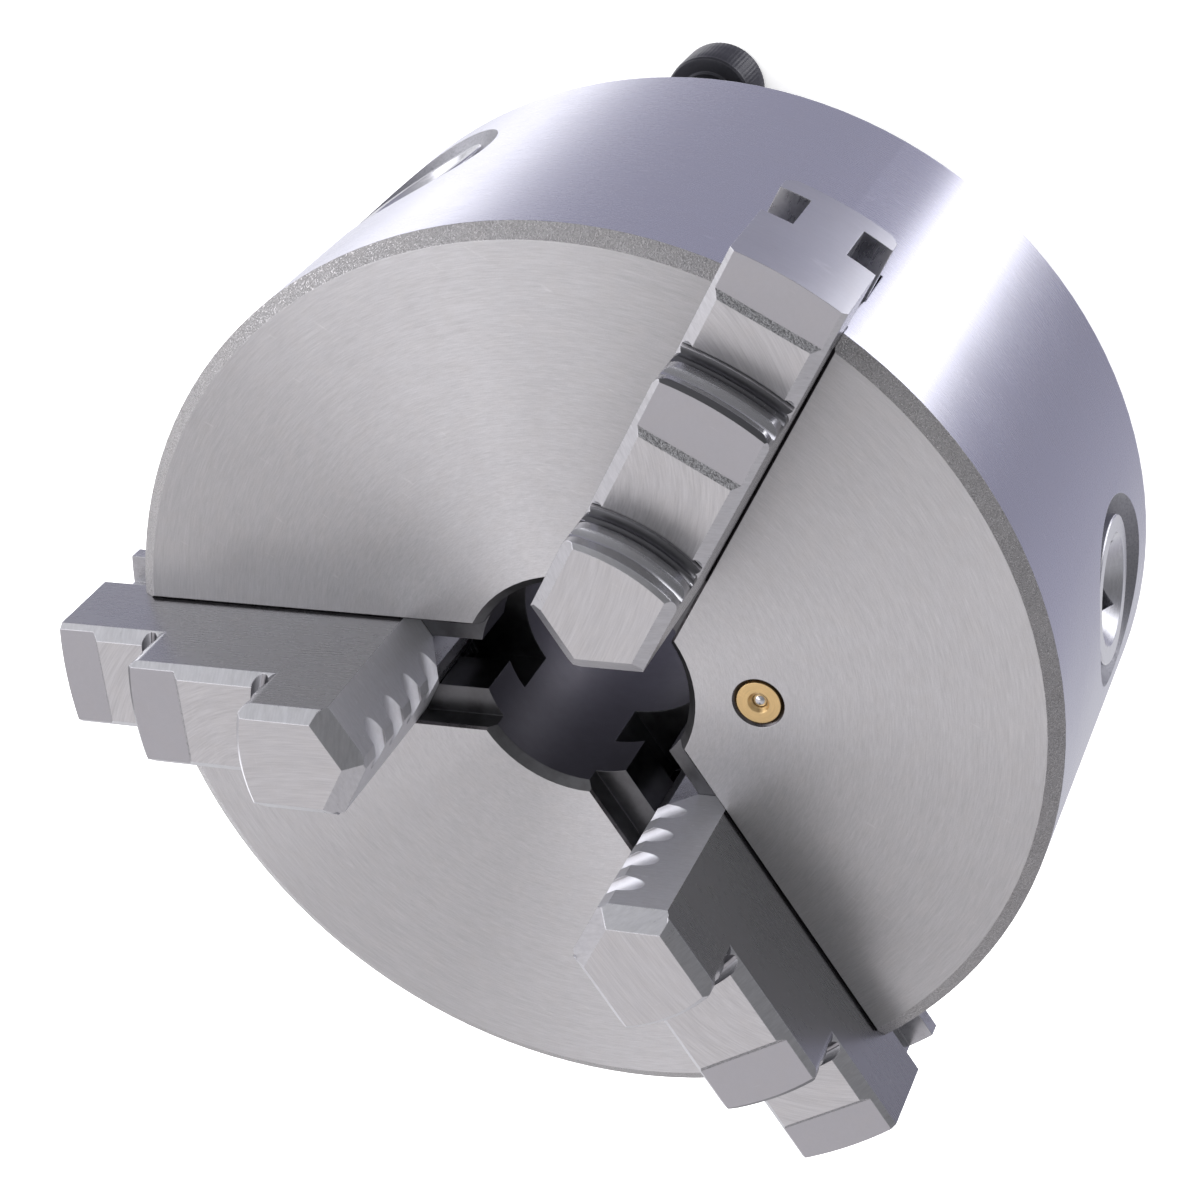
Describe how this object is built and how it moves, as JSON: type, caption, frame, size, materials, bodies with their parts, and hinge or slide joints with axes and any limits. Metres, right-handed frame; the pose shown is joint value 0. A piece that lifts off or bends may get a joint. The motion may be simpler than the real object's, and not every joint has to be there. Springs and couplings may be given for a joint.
{
  "type": "three-jaw lathe chuck",
  "caption": "Self-centring scroll lathe chuck with stepped jaws sliding in radial slots, key-driven pinions, a ball oiler and rear mounting screws.",
  "frame": {"origin": "on the spindle axis in the plane of the rear mounting face", "axes": "+Z along the spindle axis toward the jaws, +X along jaw 1"},
  "size_m": [0.1378, 0.133, 0.1052],
  "materials": {
    "body_steel": "ground",
    "cover_steel": "turned",
    "scroll_steel": "oiled",
    "pinion_steel": "turned",
    "screw_steel": "satin",
    "jaw_steel": "ground",
    "cover_screw_black": "black oxide",
    "screw_black": "black oxide",
    "oiler_brass": "turned",
    "ball_steel": "polished",
    "spring_steel": "drawn"
  },
  "bodies": {
    "body": {"chuck_body": "body_steel", "rear_cover": "cover_steel", "pinion_screw_1": "screw_steel", "pinion_screw_2": "screw_steel", "pinion_screw_3": "screw_steel", "cover_screw_1": "cover_screw_black", "cover_screw_2": "cover_screw_black", "cover_screw_3": "cover_screw_black", "mounting_screw_1": "screw_black", "mounting_screw_2": "screw_black", "mounting_screw_3": "screw_black", "oiler_body": "oiler_brass", "oiler_spring": "spring_steel"},
    "scroll": {"scroll": "scroll_steel"},
    "pinion_1": {"pinion_1": "pinion_steel"},
    "pinion_2": {"pinion_2": "pinion_steel"},
    "pinion_3": {"pinion_3": "pinion_steel"},
    "jaw_1": {"jaw_1": "jaw_steel"},
    "jaw_2": {"jaw_2": "jaw_steel"},
    "jaw_3": {"jaw_3": "jaw_steel"},
    "oiler_ball": {"oiler_ball": "ball_steel"}
  },
  "joints": [
    {"name": "scroll_turn", "type": "hinge", "parent": "body", "child": "scroll", "pos_m": [0, 0, 0.036], "axis": [0, 0, 1], "range_deg": [-45, 855]},
    {"name": "jaw_1_slide", "type": "slide", "parent": "body", "child": "jaw_1", "axis": [1, 0, 0], "range_m": [-0.0191, 0.0011]},
    {"name": "jaw_2_slide", "type": "slide", "parent": "body", "child": "jaw_2", "axis": [-0.5, 0.866, 0], "range_m": [-0.0191, 0.0011]},
    {"name": "jaw_3_slide", "type": "slide", "parent": "body", "child": "jaw_3", "axis": [-0.5, -0.866, 0], "range_m": [-0.0191, 0.0011]},
    {"name": "pinion_1_turn", "type": "hinge", "parent": "body", "child": "pinion_1", "pos_m": [0.0275, 0.04763, 0.0215], "axis": [0.5, 0.866, 0], "range_deg": [-4280, 230]},
    {"name": "pinion_2_turn", "type": "hinge", "parent": "body", "child": "pinion_2", "pos_m": [-0.055, 0, 0.0215], "axis": [-1, 0, 0], "range_deg": [-4280, 230]},
    {"name": "pinion_3_turn", "type": "hinge", "parent": "body", "child": "pinion_3", "pos_m": [0.0275, -0.04763, 0.0215], "axis": [0.5, -0.866, 0], "range_deg": [-4280, 230]},
    {"name": "oiler_ball_press", "type": "slide", "parent": "body", "child": "oiler_ball", "axis": [0, 0, -1], "range_m": [0, 0.0008], "stiffness_N_per_m": 250, "springref_m": -0.0004, "deforming": ["oiler_spring"]}
  ],
  "couplings": [
    {"joint": "jaw_1_slide", "follows": "scroll_turn", "m_per_rad": -0.0012732},
    {"joint": "jaw_2_slide", "follows": "scroll_turn", "m_per_rad": -0.0012732},
    {"joint": "jaw_3_slide", "follows": "scroll_turn", "m_per_rad": -0.0012732},
    {"joint": "pinion_1_turn", "follows": "scroll_turn", "ratio": -5},
    {"joint": "pinion_2_turn", "follows": "scroll_turn", "ratio": -5},
    {"joint": "pinion_3_turn", "follows": "scroll_turn", "ratio": -5}
  ]
}
